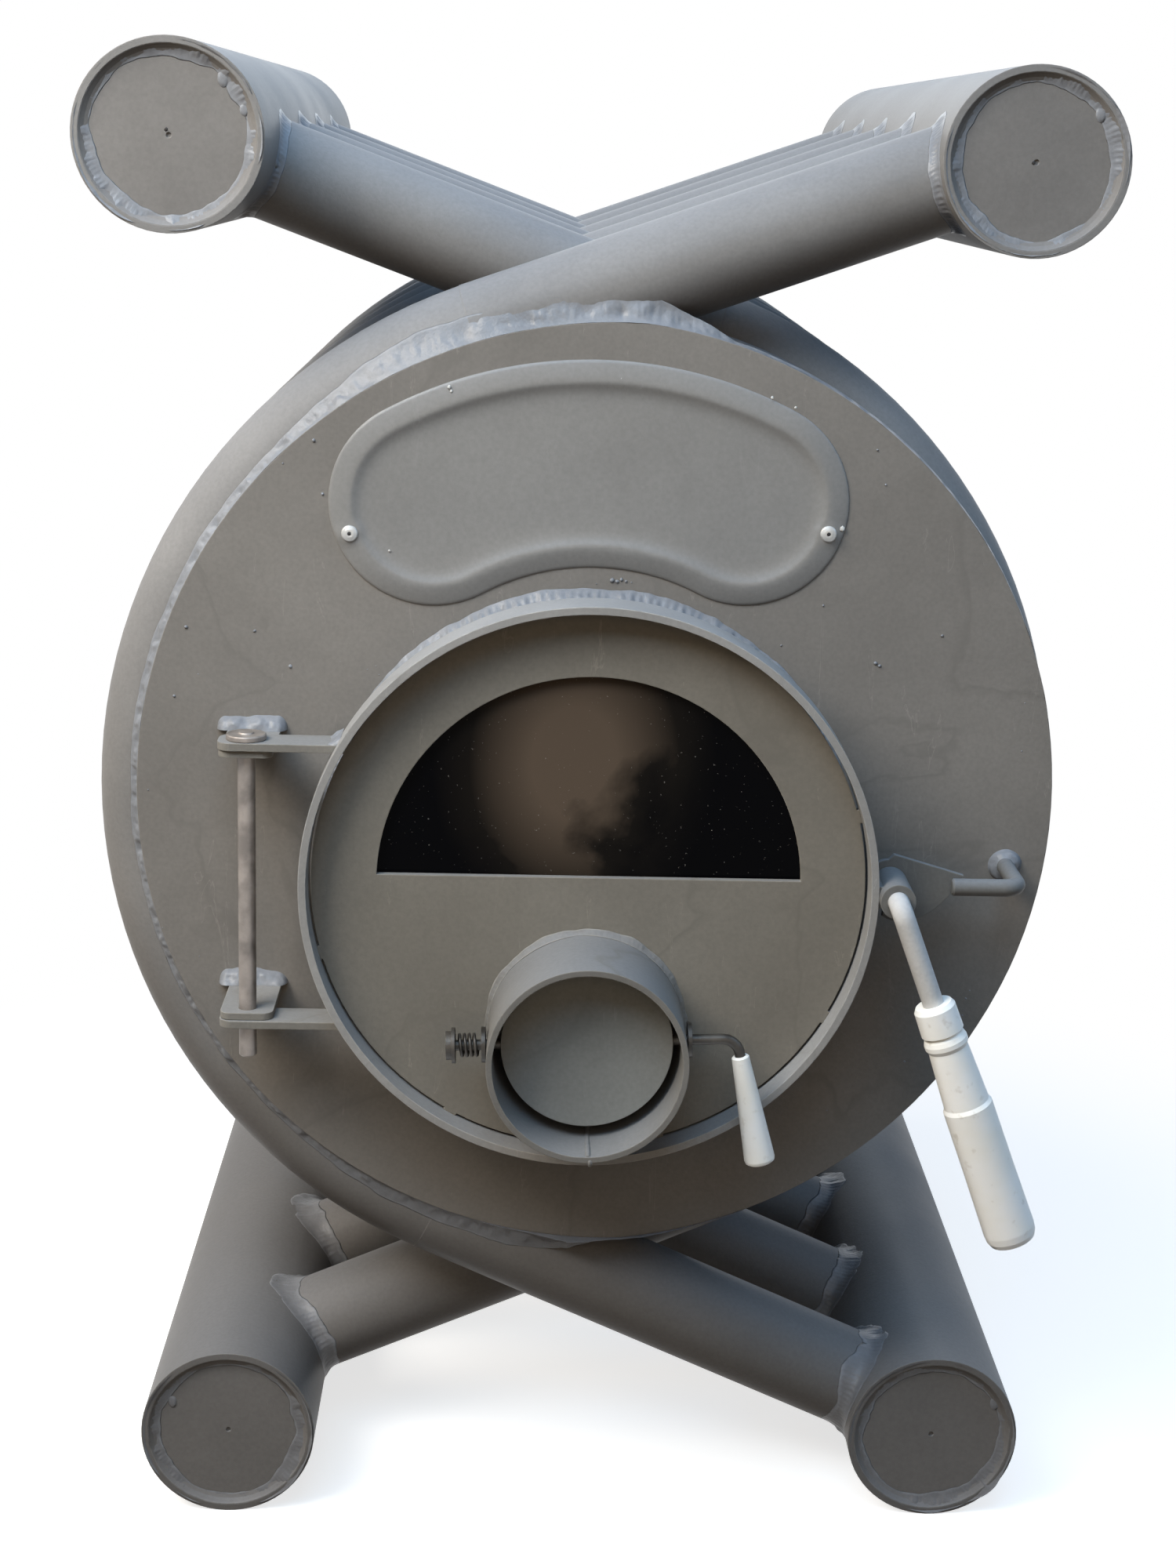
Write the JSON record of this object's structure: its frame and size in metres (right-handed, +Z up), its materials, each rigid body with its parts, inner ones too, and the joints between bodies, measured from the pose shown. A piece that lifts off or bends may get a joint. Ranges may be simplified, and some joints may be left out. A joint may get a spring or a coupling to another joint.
{
  "type": "wood-burning convection stove",
  "caption": "Wood stove: steel drum wrapped by crossing C-shaped air tubes that run into collector pipes, with a round hinged glass door, air intake flap and latch.",
  "frame": {"origin": "middle of the bounding box in X and Y, on the floor", "axes": "+X to the right as seen from the front, +Y to the rear, +Z up"},
  "size_m": [0.5809, 0.751, 0.8775],
  "materials": {
    "paint": "satin heat-resistant grey-taupe paint",
    "steel": "plain steel, lightly oxidised",
    "grip": "smooth off-white",
    "rivet": "plain",
    "glass": "smoked heat-resistant glass",
    "rope": "braided glass-fibre rope"
  },
  "bodies": {
    "stove": {"tube_1": "paint", "tube_2": "paint", "tube_3": "paint", "tube_4": "paint", "tube_5": "paint", "tube_6": "paint", "tube_7": "paint", "tube_8": "paint", "tube_9": "paint", "wall_strips_left": "paint", "wall_strips_right": "paint", "front_plate": "paint", "back_plate": "paint", "baffle": "paint", "collector_upper_left": "paint", "collector_upper_right": "paint", "collector_lower_left": "paint", "collector_lower_right": "paint", "cap_upper_left": "paint", "cap_upper_right": "paint", "cap_lower_left": "paint", "cap_lower_right": "paint", "door_neck": "paint", "hinge_lug_upper": "paint", "hinge_lug_lower": "paint", "hinge_pin": "steel", "catch_hook": "paint", "name_plate": "paint", "name_plate_rivets": "rivet", "flue_collar": "paint"},
    "door": {"door_ring": "paint", "door_plate": "paint", "door_seal": "rope", "seal_channel": "paint", "window_glass": "glass", "window_frame": "paint", "heat_shield": "paint", "intake_pipe": "paint", "hinge_arm_upper": "paint", "hinge_arm_lower": "paint", "latch_boss": "paint"},
    "latch": {"latch_rod": "paint", "latch_cam": "paint", "latch_grip": "grip"},
    "intake_flap": {"flap": "paint", "flap_shaft": "steel", "flap_spring": "steel", "flap_washers": "steel", "flap_grip": "grip"},
    "flue_damper": {"damper": "paint", "damper_shaft": "steel"}
  },
  "joints": [
    {"name": "door_hinge", "type": "hinge", "parent": "stove", "child": "door", "pos_m": [-0.1935, -0.2995, 0.4195], "axis": [0, 0, -1], "range_deg": [0, 115]},
    {"name": "latch_turn", "type": "hinge", "parent": "door", "child": "latch", "pos_m": [0.1725, -0.31, 0.4195], "axis": [0, -1, 0], "range_deg": [0, 90]},
    {"name": "flap_turn", "type": "hinge", "parent": "door", "child": "intake_flap", "pos_m": [0, -0.3445, 0.338], "axis": [-0.9992, 0, -0.0401], "range_deg": [0, 90]},
    {"name": "damper_turn", "type": "hinge", "parent": "stove", "child": "flue_damper", "pos_m": [0, 0.32, 0.6375], "axis": [1, 0, 0], "range_deg": [0, 90]}
  ]
}
